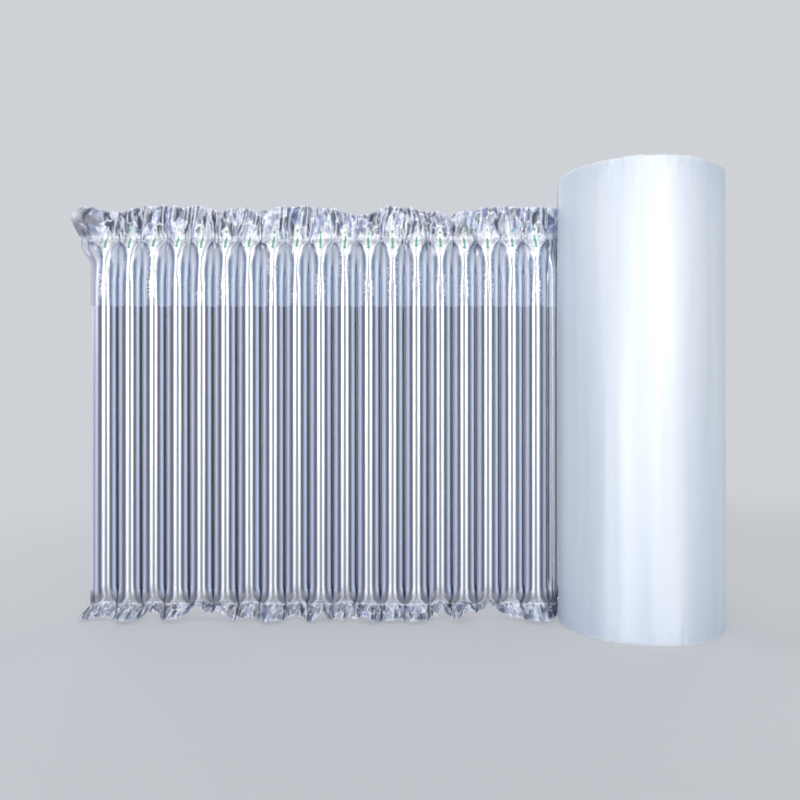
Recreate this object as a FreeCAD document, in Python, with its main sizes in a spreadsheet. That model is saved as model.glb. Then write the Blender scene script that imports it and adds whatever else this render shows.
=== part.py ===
import FreeCAD, Part
import math
import os

import Sketcher

# Air column roll: heat-sealed bubble film wound on a cardboard tube, standing on end, with its free
# end blown up into a row of upright air columns. Millimetres, +Z up. The origin is the middle of the
# roll's lower end, on the roll's axis. The blown-up sheet runs from the roll towards -X.

SIZES = {
    # The cardboard tube and the wound film.
    "web_width": 400.0,
    "roll_radius": 72.5,
    "core_bore": 38.0,
    "core_wall": 4.0,
    "core_fit": 0.2,
    # The film: each of its two outer plies, the valve film between them, and the play around it.
    "ply": 0.5,
    "valve_ply": 0.4,
    "ply_play": 0.1,
    # Where the film peels off the roll: the angle from -X, and the bend that turns it along -X.
    "peel_angle": 18.6,
    "peel_bend": 11.0,
    # The row of air columns.
    "columns": 19,
    "tube_width": 18.8,
    "tube_depth": 9.4,
    "column_seal": 3.0,
    "edge_margin": 4.0,
    # The blown-up sheet: how much inflation draws it in from the width of the web, the open
    # inflation channel along its top, the hem along its foot, and how fast the columns swell.
    "draw_in": 24.0,
    "channel": 28.0,
    "hem": 12.0,
    "top_taper": 36.0,
    "bottom_taper": 22.0,
    # How far the valve film reaches above and below the seal under the channel.
    "valve_above": 12.0,
    "valve_below": 63.0,
    # The slack corners: the inflation channel's open end and the foot of the first column.
    "corner_reach": 16.0,
    "corner_drop": 49.0,
    "foot_reach": 6.0,
}

# How far a column has swelled at each share of its taper, from the flat seal to the full tube.
SWELL = ((0.0, 0.15), (0.3, 0.8), (1.0, 1.0))

ROLL_MIDDLE = "(Sizes.roll_radius - Sizes.ply)"
PITCH = "(Sizes.tube_width + Sizes.column_seal)"
LEAD_REACH = f"({ROLL_MIDDLE} + Sizes.peel_bend)"
LEAD_END = f"({LEAD_REACH} * cos(Sizes.peel_angle * 1 deg))"
SHEET_DEPTH = f"({LEAD_REACH} * sin(Sizes.peel_angle * 1 deg) - Sizes.peel_bend)"
ROW_LENGTH = f"({PITCH} * Sizes.columns + Sizes.column_seal)"
SHEET_END = f"({LEAD_END} + {ROW_LENGTH} + Sizes.edge_margin)"
SHEET_TOP = "(Sizes.web_width - Sizes.draw_in)"
CHANNEL_SEAL = f"({SHEET_TOP} - Sizes.channel)"

doc = FreeCAD.newDocument("air_column_roll")
sheet = doc.addObject("Spreadsheet::Sheet", "Sizes")
for row, (alias, value) in enumerate(SIZES.items(), start=1):
    sheet.set(f"A{row}", alias)
    sheet.set(f"B{row}", str(value))
    sheet.setAlias(f"B{row}", alias)
doc.recompute()


def new_body(name):
    """An empty body whose label is the name of the piece."""
    body = doc.addObject("PartDesign::Body", name)
    body.Label = name
    return body


def datum(body, role):
    """One of the body's own origin planes or axes, such as XY_Plane or X_Axis."""
    return next(item for item in body.Origin.OriginFeatures if item.Role == role)


def new_sketch(body, name, plane, level=None):
    """A sketch on one of the body's origin planes, raised along the plane's normal by a formula."""
    sketch = body.newObject("Sketcher::SketchObject", name)
    sketch.AttachmentSupport = [(datum(body, plane), "")]
    sketch.MapMode = "FlatFace"
    if level:
        sketch.setExpression("AttachmentOffset.Base.z", level)
    return sketch


def bind(sketch, constraint, formula):
    """Adds a dimension to the sketch and ties it to a formula on the sheet."""
    index = sketch.addConstraint(constraint)
    sketch.setExpression(f"Constraints[{index}]", formula)


def circle(sketch, formula, guess):
    """A full circle about the sketch's origin."""
    ring = sketch.addGeometry(Part.Circle(FreeCAD.Vector(0, 0, 0), FreeCAD.Vector(0, 0, 1), guess))
    sketch.addConstraint(Sketcher.Constraint("Coincident", ring, 3, -1, 1))
    bind(sketch, Sketcher.Constraint("Radius", ring, guess), formula)


def polygon(sketch, corners):
    """A closed outline through corners, each a pair of formulas for its distance left and up."""
    guesses = [FreeCAD.Vector(-10.0 * step, 7.0 * step * step, 0) for step in range(len(corners))]
    edges = []
    for step, start in enumerate(guesses):
        end = guesses[(step + 1) % len(guesses)]
        edges.append(sketch.addGeometry(Part.LineSegment(start, end)))
    for step, edge in enumerate(edges):
        sketch.addConstraint(Sketcher.Constraint("Coincident", edge, 2, edges[(step + 1) % len(edges)], 1))
    for edge, guess, (left, up) in zip(edges, guesses, corners):
        bind(sketch, Sketcher.Constraint("DistanceX", -1, 1, edge, 1, guess.x), f"-({left})")
        bind(sketch, Sketcher.Constraint("DistanceY", -1, 1, edge, 1, guess.y), f"{up}")
    return sketch


def pad(body, name, sketch, length, toward_back=False, midplane=False):
    """Pads the sketch by a formula."""
    feature = body.newObject("PartDesign::Pad", name)
    feature.Profile = sketch
    feature.setExpression("Length", length)
    feature.Midplane = midplane
    feature.Reversed = toward_back
    return feature


def paper_core():
    """The cardboard tube that the film is wound on and that slips over a spindle."""
    body = new_body("paper_core")
    section = new_sketch(body, "TubeSection", "XY_Plane")
    circle(section, "Sizes.core_bore", SIZES["core_bore"])
    circle(section, "Sizes.core_bore + Sizes.core_wall", SIZES["core_bore"] + SIZES["core_wall"])
    pad(body, "Tube", section, "Sizes.web_width")
    return body


def film_roll():
    """The wound turns as one solid. Two half circles, a quarter of the web apart in centre, make a
    spiral outline, and its step is where the outermost turn peels off."""
    body = new_body("film_roll")
    section = new_sketch(body, "TurnsSection", "XY_Plane")
    circle(section, "Sizes.core_bore + Sizes.core_wall + Sizes.core_fit", SIZES["core_bore"] + 4.2)
    radius, web = SIZES["roll_radius"], 2 * SIZES["ply"]
    up = FreeCAD.Vector(0, 0, 1)
    under = Part.Circle(FreeCAD.Vector(web / 4, 0, 0), up, radius - 0.75 * web)
    over = Part.Circle(FreeCAD.Vector(-web / 4, 0, 0), up, radius - 0.25 * web)
    lower = section.addGeometry(Part.ArcOfCircle(under, math.pi, 2 * math.pi))
    upper = section.addGeometry(Part.ArcOfCircle(over, 0, math.pi))
    step = section.addGeometry(
        Part.LineSegment(FreeCAD.Vector(-radius, 0, 0), FreeCAD.Vector(web - radius, 0, 0))
    )
    section.addConstraint(Sketcher.Constraint("Coincident", lower, 2, upper, 1))
    section.addConstraint(Sketcher.Constraint("Coincident", upper, 2, step, 1))
    section.addConstraint(Sketcher.Constraint("Coincident", step, 2, lower, 1))
    for arc in (lower, upper):
        section.addConstraint(Sketcher.Constraint("PointOnObject", arc, 3, -1))
    section.addConstraint(Sketcher.Constraint("PointOnObject", lower, 2, -1))
    section.addConstraint(Sketcher.Constraint("PointOnObject", step, 1, -1))
    section.addConstraint(Sketcher.Constraint("PointOnObject", step, 2, -1))
    bind(section, Sketcher.Constraint("DistanceX", step, 1, -1, 1, radius), "Sizes.roll_radius")
    bind(section, Sketcher.Constraint("DistanceX", step, 1, step, 2, web), "2 * Sizes.ply")
    bind(section, Sketcher.Constraint("DistanceX", -1, 1, lower, 2, radius - web / 2),
         "Sizes.roll_radius - Sizes.ply")
    pad(body, "Turns", section, "Sizes.web_width")
    body.Placement = FreeCAD.Placement(FreeCAD.Vector(), FreeCAD.Rotation(FreeCAD.Vector(0, 0, -1), 1))
    body.setExpression("Placement.Rotation.Angle", "Sizes.peel_angle * 1 deg")
    return body


def sheet_outline(body):
    """The film's flat outline, with the slack corner of the inflation channel and the flared foot."""
    sketch = new_sketch(body, "PlyOutline", "XZ_Plane")
    return polygon(sketch, [
        (LEAD_END, "0"),
        (LEAD_END, SHEET_TOP),
        (SHEET_END, SHEET_TOP),
        (f"{SHEET_END} + Sizes.corner_reach", f"{SHEET_TOP} - Sizes.corner_drop * 0.08"),
        (f"{SHEET_END} + Sizes.corner_reach * 0.45", f"{SHEET_TOP} - Sizes.corner_drop * 0.6"),
        (SHEET_END, f"{SHEET_TOP} - Sizes.corner_drop"),
        (SHEET_END, "Sizes.hem"),
        (f"{SHEET_END} + Sizes.foot_reach", "0"),
    ])


def column_section(body, name, side, level, swell):
    """A half column's section next to the roll: a chord on the seam, and an arc out to its depth."""
    sketch = new_sketch(body, name, "XY_Plane", level)
    width, depth = SIZES["tube_width"], SIZES["tube_depth"] * swell
    right = -95.0
    ends = [FreeCAD.Vector(right, 0, 0), FreeCAD.Vector(right - width, 0, 0)]
    crest = FreeCAD.Vector(right - width / 2, side * depth, 0)
    chord = sketch.addGeometry(Part.LineSegment(*ends))
    arc = sketch.addGeometry(Part.Arc(ends[1], crest, ends[0]))
    if side > 0:
        first, last = 2, 1
    else:
        first, last = 1, 2
    sketch.addConstraint(Sketcher.Constraint("Coincident", chord, 2, arc, first))
    sketch.addConstraint(Sketcher.Constraint("Coincident", chord, 1, arc, last))
    sketch.addConstraint(Sketcher.Constraint("PointOnObject", chord, 1, -1))
    sketch.addConstraint(Sketcher.Constraint("PointOnObject", chord, 2, -1))
    bind(sketch, Sketcher.Constraint("DistanceX", chord, 1, -1, 1, -right),
         f"{LEAD_END} + Sizes.column_seal")
    bind(sketch, Sketcher.Constraint("DistanceX", chord, 2, chord, 1, width), "Sizes.tube_width")
    half_width, reach = "(Sizes.tube_width / 2)", f"(Sizes.tube_depth * {swell})"
    centre = side * (depth ** 2 - width ** 2 / 4) / (2 * depth)
    bind(sketch, Sketcher.Constraint("DistanceY", -1, 1, arc, 3, centre),
         f"{side} * ({reach} ^ 2 - {half_width} ^ 2) / (2 * {reach})")
    return sketch


def air_columns(body, side):
    """One half column, lofted from seal to seal, and repeated along the row."""
    levels = [(f"Sizes.hem + Sizes.bottom_taper * {share}", swell) for share, swell in SWELL]
    levels += [(f"{CHANNEL_SEAL} - Sizes.top_taper * {share}", swell)
               for share, swell in reversed(SWELL)]
    sections = [column_section(body, f"ColumnSection{number}", side, level, swell)
                for number, (level, swell) in enumerate(levels)]
    column = body.newObject("PartDesign::AdditiveLoft", "Column")
    column.Profile = sections[0]
    column.Sections = sections[1:]
    column.Ruled = True
    doc.recompute()
    row = body.newObject("PartDesign::LinearPattern", "ColumnRow")
    row.Originals = [column]
    row.Direction = (datum(body, "X_Axis"), [""])
    row.Reversed = True
    row.setExpression("Length", f"{PITCH} * (Sizes.columns - 1)")
    row.setExpression("Occurrences", "Sizes.columns")
    body.Tip = row
    return row


def lead(body, side):
    """The flat film between the last seal and the roll: an arc that meets the roll's step squarely,
    with its top edge sloping down from the full web to the drawn-in sheet."""
    sketch = new_sketch(body, "LeadSection", "XY_Plane")
    bend, ply, play = SIZES["peel_bend"], SIZES["ply"], SIZES["ply_play"] / 2
    near, far = (bend - ply, bend - play) if side > 0 else (bend + play, bend + ply)
    near_formula, far_formula = (
        ("Sizes.peel_bend - Sizes.ply", "Sizes.peel_bend - Sizes.ply_play / 2") if side > 0
        else ("Sizes.peel_bend + Sizes.ply_play / 2", "Sizes.peel_bend + Sizes.ply"))
    middle, up = FreeCAD.Vector(-78.0, bend, 0), FreeCAD.Vector(0, 0, 1)
    start, end = -math.pi / 2, -math.radians(SIZES["peel_angle"])
    arcs = [sketch.addGeometry(Part.ArcOfCircle(Part.Circle(middle, up, radius), start, end))
            for radius in (near, far)]
    tips = [[sketch.getPoint(arc, place) for arc in arcs] for place in (1, 2)]
    foot, head = [sketch.addGeometry(Part.LineSegment(*pair)) for pair in tips]
    for line, place in ((foot, 1), (head, 2)):
        sketch.addConstraint(Sketcher.Constraint("Coincident", line, 1, arcs[0], place))
        sketch.addConstraint(Sketcher.Constraint("Coincident", line, 2, arcs[1], place))
        sketch.addConstraint(Sketcher.Constraint("PointOnObject", arcs[0], 3, line))
    sketch.addConstraint(Sketcher.Constraint("Coincident", arcs[0], 3, arcs[1], 3))
    sketch.addConstraint(Sketcher.Constraint("Vertical", foot))
    bind(sketch, Sketcher.Constraint("Angle", head, -math.radians(SIZES["peel_angle"])),
         "-Sizes.peel_angle * 1 deg")
    bind(sketch, Sketcher.Constraint("DistanceX", arcs[0], 3, -1, 1, -middle.x), LEAD_END)
    bind(sketch, Sketcher.Constraint("DistanceY", -1, 1, arcs[0], 3, bend), "Sizes.peel_bend")
    bind(sketch, Sketcher.Constraint("Radius", arcs[0], near), near_formula)
    bind(sketch, Sketcher.Constraint("Radius", arcs[1], far), far_formula)
    pad(body, "Lead", sketch, "Sizes.web_width")
    above = new_sketch(body, "LeadTop", "XZ_Plane")
    polygon(above, [
        (LEAD_END, SHEET_TOP),
        (f"{LEAD_END} - Sizes.peel_bend - Sizes.ply", "Sizes.web_width"),
        (f"{LEAD_END} - Sizes.peel_bend - Sizes.ply", "Sizes.web_width * 2"),
        (LEAD_END, "Sizes.web_width * 2"),
    ])
    cut = body.newObject("PartDesign::Pocket", "LeadTopSlope")
    cut.Profile = above
    cut.Type = "ThroughAll"
    cut.Midplane = True


def valve_outline(body, play):
    """The valve film's band across the row of columns, grown by a formula for its play."""
    sketch = new_sketch(body, "ValveOutline", "XZ_Plane")
    right = f"{LEAD_END} + Sizes.column_seal - {play}"
    left = f"{LEAD_END} + {ROW_LENGTH} - Sizes.column_seal + {play}"
    low = f"{CHANNEL_SEAL} - Sizes.valve_below - {play}"
    high = f"{CHANNEL_SEAL} + Sizes.valve_above + {play}"
    return polygon(sketch, [(right, low), (right, high), (left, high), (left, low)])


def film(name, side):
    """One outer film of the free end, closed at the seam plane so that it holds its half of the air.
    The side is -1 at the front and 1 at the back."""
    body = new_body(name)
    back = side > 0
    pad(body, "Ply", sheet_outline(body), "Sizes.ply", toward_back=back)
    air_columns(body, side)
    lead(body, side)
    seat = body.newObject("PartDesign::Pocket", "ValveSeat")
    seat.Profile = valve_outline(body, "Sizes.ply_play")
    seat.setExpression("Length", "Sizes.valve_ply / 2")
    seat.Reversed = not back
    body.setExpression("Placement.Base.y", SHEET_DEPTH)
    return body


def valve_film():
    """The inner film whose printed throats let air into each column and then shut."""
    body = new_body("valve_film")
    pad(body, "Band", valve_outline(body, "0"), "Sizes.valve_ply", midplane=True)
    body.setExpression("Placement.Base.y", SHEET_DEPTH)
    return body


def check_and_export(bodies):
    """Recomputes, refuses any failed feature or bad solid, and writes one STEP file for each piece."""
    doc.recompute()
    for item in doc.Objects:
        if "Invalid" in item.State or "Error" in item.State:
            raise RuntimeError(f"{item.Name} failed: {item.State}")
    os.makedirs("parts", exist_ok=True)
    for body in bodies:
        shape = body.Shape
        if shape.isNull() or not shape.isValid():
            raise RuntimeError(f"{body.Label} has no valid solid")
        print(f"{body.Label}: {len(shape.Solids)} solid, {shape.Volume / 1000:.1f} cm3, "
              f"{len(shape.Faces)} faces, {shape.BoundBox}")
        shape.exportStep(f"parts/{body.Label}.step")


check_and_export([paper_core(), film_roll(), film("front_film", -1), film("back_film", 1), valve_film()])
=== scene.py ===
"""Air column roll: milky film wound on a cardboard tube, with its free end blown up into a row of
upright air columns. Metres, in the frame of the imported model, with the roll's axis at x = y = 0.

A small cloth solver, which gives the same result each run, settles the film. The film is then
trimmed and painted with layers of numbers, such as how hazy or crumpled it is at each point, and
its material reads those layers."""

import math

import bpy
import numpy as np
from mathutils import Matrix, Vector


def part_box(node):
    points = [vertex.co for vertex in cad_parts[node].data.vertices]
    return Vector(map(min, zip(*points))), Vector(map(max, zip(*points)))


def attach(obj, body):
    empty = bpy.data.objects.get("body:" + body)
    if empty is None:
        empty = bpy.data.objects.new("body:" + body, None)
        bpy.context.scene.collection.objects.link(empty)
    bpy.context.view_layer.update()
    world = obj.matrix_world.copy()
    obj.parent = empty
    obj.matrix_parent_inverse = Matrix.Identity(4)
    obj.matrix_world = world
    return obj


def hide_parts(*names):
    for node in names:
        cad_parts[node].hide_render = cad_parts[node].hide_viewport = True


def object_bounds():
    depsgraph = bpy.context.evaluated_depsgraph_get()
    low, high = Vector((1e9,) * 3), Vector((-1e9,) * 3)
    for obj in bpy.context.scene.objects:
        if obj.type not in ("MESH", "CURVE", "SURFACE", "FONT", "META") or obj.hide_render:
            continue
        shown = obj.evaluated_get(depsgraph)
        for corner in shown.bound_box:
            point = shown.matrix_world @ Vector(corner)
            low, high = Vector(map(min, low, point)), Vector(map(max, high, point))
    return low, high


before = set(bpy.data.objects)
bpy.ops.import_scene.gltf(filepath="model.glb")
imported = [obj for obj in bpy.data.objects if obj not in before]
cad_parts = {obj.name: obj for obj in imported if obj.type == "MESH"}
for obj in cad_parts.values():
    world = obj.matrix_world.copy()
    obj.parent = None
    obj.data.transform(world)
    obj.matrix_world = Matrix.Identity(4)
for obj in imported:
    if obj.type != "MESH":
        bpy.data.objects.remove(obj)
CAD_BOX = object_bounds()
MM = 0.001
CLOSE = 1e-6

# ---------------------------------------------------------------- sizes, read from the frame
ROLL_LOW, ROLL_HIGH = (np.array(corner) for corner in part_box("film_roll"))
VALVE_LOW, VALVE_HIGH = (np.array(corner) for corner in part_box("valve_film"))
CORE_HIGH = np.array(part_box("paper_core")[1])
WEB = ROLL_HIGH[2]
ROLL_RADIUS = (ROLL_HIGH[1] - ROLL_LOW[1]) / 2
SHEET_Y = (VALVE_LOW[1] + VALVE_HIGH[1]) / 2

# The row of columns, which reaches a little past each end of the valve film.
COLUMNS = 19
SEAM = 1.4 * MM
PAST_VALVE = 1.5 * MM
PITCH = (VALVE_HIGH[0] - VALVE_LOW[0] + 2 * PAST_VALVE) / COLUMNS
RADIUS = (PITCH - SEAM) / 2
FIRST = VALVE_LOW[0] - PAST_VALVE + PITCH / 2
FLAT_TUBE = math.pi * RADIUS
FLAT_PITCH = FLAT_TUBE + SEAM
MARGIN = 6.2 * MM

# The bend that takes the film to the roll.
BEND_RADIUS = 11 * MM
BEND_TURN = math.radians(71.4)
LEAD_STEP = 1.4 * MM

# Heights up the sheet. It is lower than the roll, because blowing the columns up draws the web in.
# The columns draw in above the neck, and the feet have closer rows of points.
HEM = 12.0 * MM
SHEET_TOP = WEB - 24.0 * MM
CHANNEL_SEAL = SHEET_TOP - 28.0 * MM
VALVE_FOOT, VALVE_HEAD = VALVE_LOW[2], VALVE_HIGH[2]
FEET_TOP = 0.050
NECK = 0.300


# ---------------------------------------------------------------- numbers and meshes
def smooth(low, high, value):
    """0 at low, 1 at high, and an S-curve between. Low may be the larger."""
    share = np.clip((np.asarray(value, dtype=float) - low) / (high - low), 0.0, 1.0)
    return share * share * (3.0 - 2.0 * share)


def bell(value, middle, width):
    """1 at the middle, and fading on both sides of it."""
    return np.exp(-(((value - middle) / width) ** 2))


def value_noise(u, v, seed):
    """Smooth noise from -1 to 1 on a unit lattice, the same on every run."""
    table = np.random.default_rng(seed).uniform(-1.0, 1.0, (256, 256))
    u, v = np.broadcast_arrays(np.asarray(u, dtype=float), np.asarray(v, dtype=float))
    iu, iv = np.floor(u).astype(int), np.floor(v).astype(int)
    fu, fv = u - iu, v - iv
    fu, fv = fu * fu * (3 - 2 * fu), fv * fv * (3 - 2 * fv)
    a, b = table[iu % 256, iv % 256], table[(iu + 1) % 256, iv % 256]
    c, d = table[iu % 256, (iv + 1) % 256], table[(iu + 1) % 256, (iv + 1) % 256]
    return (a * (1 - fu) + b * fu) * (1 - fv) + (c * (1 - fu) + d * fu) * fv


def new_mesh(name, points, faces):
    """A smooth-shaded object in the scene."""
    mesh = bpy.data.meshes.new(name)
    mesh.from_pydata(np.asarray(points).tolist(), [], faces)
    mesh.shade_smooth()
    mesh.update()
    piece = bpy.data.objects.new(name, mesh)
    bpy.context.scene.collection.objects.link(piece)
    return piece


def grid(name, points, flip=False):
    """A sheet of quads through points[across, up]."""
    across, up = points.shape[:2]
    index = np.arange(across * up).reshape(across, up)
    faces = np.stack([index[:-1, :-1], index[1:, :-1], index[1:, 1:], index[:-1, 1:]], axis=-1)
    faces = faces.reshape(-1, 4)[:, ::-1] if flip else faces.reshape(-1, 4)
    return new_mesh(name, points.reshape(-1, 3), faces.tolist())


def paint(piece, name, values):
    """Stores one number a vertex, for the piece's material."""
    layer = piece.data.attributes.new(name, "FLOAT", "POINT")
    layer.data.foreach_set("value", np.asarray(values, dtype=np.float32).ravel())


def paint_flat(piece, across, up):
    """Stores each vertex's place on the flat web, in centimetres, as the piece's UV map."""
    corners = np.empty(len(piece.data.loops), dtype=np.int32)
    piece.data.loops.foreach_get("vertex_index", corners)
    place = np.stack(np.broadcast_arrays(across[:, None], up[None, :]), axis=-1)
    place = place.reshape(-1, 2) * 100
    layer = piece.data.uv_layers.new(name="flat")
    layer.data.foreach_set("uv", place[corners].astype(np.float32).ravel())


# ---------------------------------------------------------------- shader nodes
BLACK, WHITE = (0.0,) * 3, (1.0,) * 3


def material(name):
    """A new material, with its nodes, its links and its shader."""
    made = bpy.data.materials.new(name)
    made.use_nodes = True
    tree = made.node_tree
    return made, tree.nodes, tree.links, tree.nodes["Principled BSDF"]


def attribute(nodes, name):
    """A layer of numbers painted on the piece."""
    node = nodes.new("ShaderNodeAttribute")
    node.attribute_name = name
    return node.outputs["Fac"]


def placed(nodes, links, output, stretch):
    """Texture coordinates, stretched along the axes."""
    place = nodes.new("ShaderNodeTexCoord")
    mapping = nodes.new("ShaderNodeMapping")
    mapping.inputs["Scale"].default_value = stretch
    links.new(place.outputs[output], mapping.inputs["Vector"])
    return mapping.outputs["Vector"]


def noise(nodes, links, scale, detail=3.0, stretch=(1, 1, 1), output="Object"):
    texture = nodes.new("ShaderNodeTexNoise")
    texture.inputs["Scale"].default_value = scale
    texture.inputs["Detail"].default_value = detail
    links.new(placed(nodes, links, output, stretch), texture.inputs["Vector"])
    return texture.outputs["Fac"]


def creased(nodes, links, scale, stretch):
    """Distance from the straight creases between flat facets, over the flat web."""
    texture = nodes.new("ShaderNodeTexVoronoi")
    texture.voronoi_dimensions = "2D"
    texture.feature = "DISTANCE_TO_EDGE"
    texture.inputs["Scale"].default_value = scale
    links.new(placed(nodes, links, "UV", stretch), texture.inputs["Vector"])
    return texture.outputs["Distance"]


def ramp(nodes, links, source, stops):
    """A colour ramp through (place, colour) stops."""
    node = nodes.new("ShaderNodeValToRGB")
    elements = node.color_ramp.elements
    elements.remove(elements[1])
    elements[0].position = stops[0][0]
    for place, _ in stops[1:]:
        elements.new(place)
    for element, (_, colour) in zip(elements, stops):
        element.color = (*colour, 1.0)
    links.new(source, node.inputs["Fac"])
    return node.outputs["Color"]


def mixed(nodes, links, share, first, second):
    """The first colour where the share is 0, and the second where it is 1."""
    node = nodes.new("ShaderNodeMix")
    node.data_type = "RGBA"
    links.new(share, node.inputs["Factor"])
    for socket, value in ((node.inputs[6], first), (node.inputs[7], second)):
        if isinstance(value, tuple):
            socket.default_value = (*value, 1.0)
        else:
            links.new(value, socket)
    return node.outputs[2]


def times(nodes, links, first, second):
    """One colour multiplied by another."""
    node = nodes.new("ShaderNodeMix")
    node.data_type = "RGBA"
    node.blend_type = "MULTIPLY"
    node.inputs["Factor"].default_value = 1.0
    links.new(first, node.inputs[6])
    links.new(second, node.inputs[7])
    return node.outputs[2]


def maths(nodes, links, kind, *values, clamp=False):
    node = nodes.new("ShaderNodeMath")
    node.operation = kind
    node.use_clamp = clamp
    for socket, value in zip(node.inputs, values):
        if isinstance(value, (int, float)):
            socket.default_value = value
        else:
            links.new(value, socket)
    return node.outputs["Value"]


def bumped(nodes, links, shader, height, distance, strength=1.0):
    node = nodes.new("ShaderNodeBump")
    node.inputs["Distance"].default_value = distance
    node.inputs["Strength"].default_value = strength
    links.new(height, node.inputs["Height"])
    links.new(node.outputs["Normal"], shader.inputs["Normal"])


def glossed(nodes, links, shader, ior, level, drawn_out):
    """Gloss that is the same all over, and drawn out up and down."""
    shader.inputs["IOR"].default_value = ior
    shader.inputs["Specular IOR Level"].default_value = level
    shader.inputs["Anisotropic"].default_value = drawn_out
    up = nodes.new("ShaderNodeCombineXYZ")
    up.inputs["Z"].default_value = 1.0
    links.new(up.outputs["Vector"], shader.inputs["Tangent"])


# ---------------------------------------------------------------- materials
# The film's colours from a tube's crest to its seam, as seen through its two plies, and the same
# where the valve film lies behind the front one. They are painted light and shade: a painted
# highlight near the crest, painted dark reflections beside it, a pale band painted as a reflection
# of the side light, and painted shade in the valley at the seam.
PAINTED_BANDS = (
    (0.0, (0.26, 0.29, 0.36)), (0.05, (0.30, 0.33, 0.40)), (0.10, (0.86, 0.89, 0.95)),
    (0.155, (0.84, 0.88, 0.95)), (0.225, (0.18, 0.21, 0.29)), (0.28, (0.020, 0.040, 0.085)),
    (0.34, (0.020, 0.040, 0.085)), (0.42, (0.30, 0.35, 0.48)), (0.50, (0.70, 0.76, 0.95)),
    (0.61, (0.74, 0.80, 0.98)), (0.69, (0.30, 0.35, 0.48)), (0.77, (0.012, 0.028, 0.065)),
    (1.0, (0.004, 0.014, 0.042)))
PAINTED_VALVE_BANDS = (
    (0.0, (0.42, 0.48, 0.56)), (0.05, (0.48, 0.53, 0.62)), (0.10, (0.88, 0.93, 0.98)),
    (0.155, (0.84, 0.90, 0.98)), (0.21, (0.22, 0.29, 0.43)), (0.25, (0.13, 0.19, 0.33)),
    (0.33, (0.16, 0.23, 0.40)), (0.42, (0.55, 0.66, 0.90)), (0.50, (0.90, 0.95, 1.0)),
    (0.60, (0.88, 0.93, 1.0)), (0.70, (0.50, 0.58, 0.80)), (0.80, (0.20, 0.27, 0.44)),
    (1.0, (0.14, 0.20, 0.35)))
SHADOW = (0.02, 0.03, 0.06)

# Painted light and shade of crumpled film, a painted tone for each flat facet, and the sizes of its
# facets: the texture's scale and stretch, half the width of a painted crease highlight, and the
# level of the tones. First along the foot, then in the flap.
FACET_SHADES = ((0.0, (0.012, 0.03, 0.09)), (0.25, (0.05, 0.085, 0.20)), (0.5, (0.16, 0.22, 0.41)),
          (0.75, (0.44, 0.53, 0.78)), (0.95, (0.92, 0.95, 1.0)))
HEM_FACETS = (2.3, (1, 0.9, 1), 0.11, -0.60)
FLAP_FACETS = (1.25, (1, 0.75, 1), 0.07, -0.62)

# The white drop round a printed throat is a painted highlight, where the crest's highlight widens
# below the channel. In millimetres: the height of its foot, how tall it is and half its width,
# which is multiplied by these shares up its height.
DROP_FOOT, DROP_TALL, DROP_HALF = 325, 40, 8.0
DROP_WIDTHS = ((0.06, 0.0), (0.16, 0.32), (0.42, 0.6), (0.62, 0.56), (0.84, 0.34), (0.95, 0.0))


def drop_highlight_mask(nodes, links):
    """1 inside the painted highlight drops, by the distance from the column's crest and the height.
    """
    away, height = attribute(nodes, "away"), attribute(nodes, "height")
    share = maths(nodes, links, "MULTIPLY_ADD", height, 1 / DROP_TALL, -DROP_FOOT / DROP_TALL)
    width = ramp(nodes, links, share, [(place, (wide,) * 3) for place, wide in DROP_WIDTHS])
    ragged = noise(nodes, links, 2.5, output="UV")
    width = maths(nodes, links, "MULTIPLY", width, maths(nodes, links, "ADD", ragged, 0.5))
    inside = maths(nodes, links, "MULTIPLY_ADD", width, DROP_HALF, -0.4)
    inside = maths(nodes, links, "SUBTRACT", inside, away)
    return maths(nodes, links, "MULTIPLY", inside, 1.6, clamp=True)


def banded(nodes, links, above):
    """The painted bands, in the valve film's set above its foot, warmer on one side of a tube as a
    painted reflection of that side's light, and darkened by painted shade.
    """
    wobble = noise(nodes, links, 40.0, detail=1.0, stretch=(1, 1, 0.03))
    place = maths(nodes, links, "MULTIPLY_ADD", wobble, 0.06, -0.03)
    across = maths(nodes, links, "ABSOLUTE", attribute(nodes, "across"))
    across = maths(nodes, links, "MAXIMUM", across, attribute(nodes, "seam"))
    place = maths(nodes, links, "ADD", across, place)
    below = ramp(nodes, links, place, PAINTED_BANDS)
    tone = mixed(nodes, links, above, below, ramp(nodes, links, place, PAINTED_VALVE_BANDS))
    # Painted reflection: each side of a tube takes the tint of the light on that side.
    side = maths(nodes, links, "MULTIPLY_ADD", attribute(nodes, "across"), 0.5, 0.5)
    tint = ramp(nodes, links, side, [(0.3, (1.03, 0.985, 1.02)), (0.7, (0.96, 1.0, 1.0))])
    tone = times(nodes, links, tone, tint)
    # Painted shade darkens the bands towards SHADOW.
    return mixed(nodes, links, attribute(nodes, "painted_shade"), tone, SHADOW)


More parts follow.
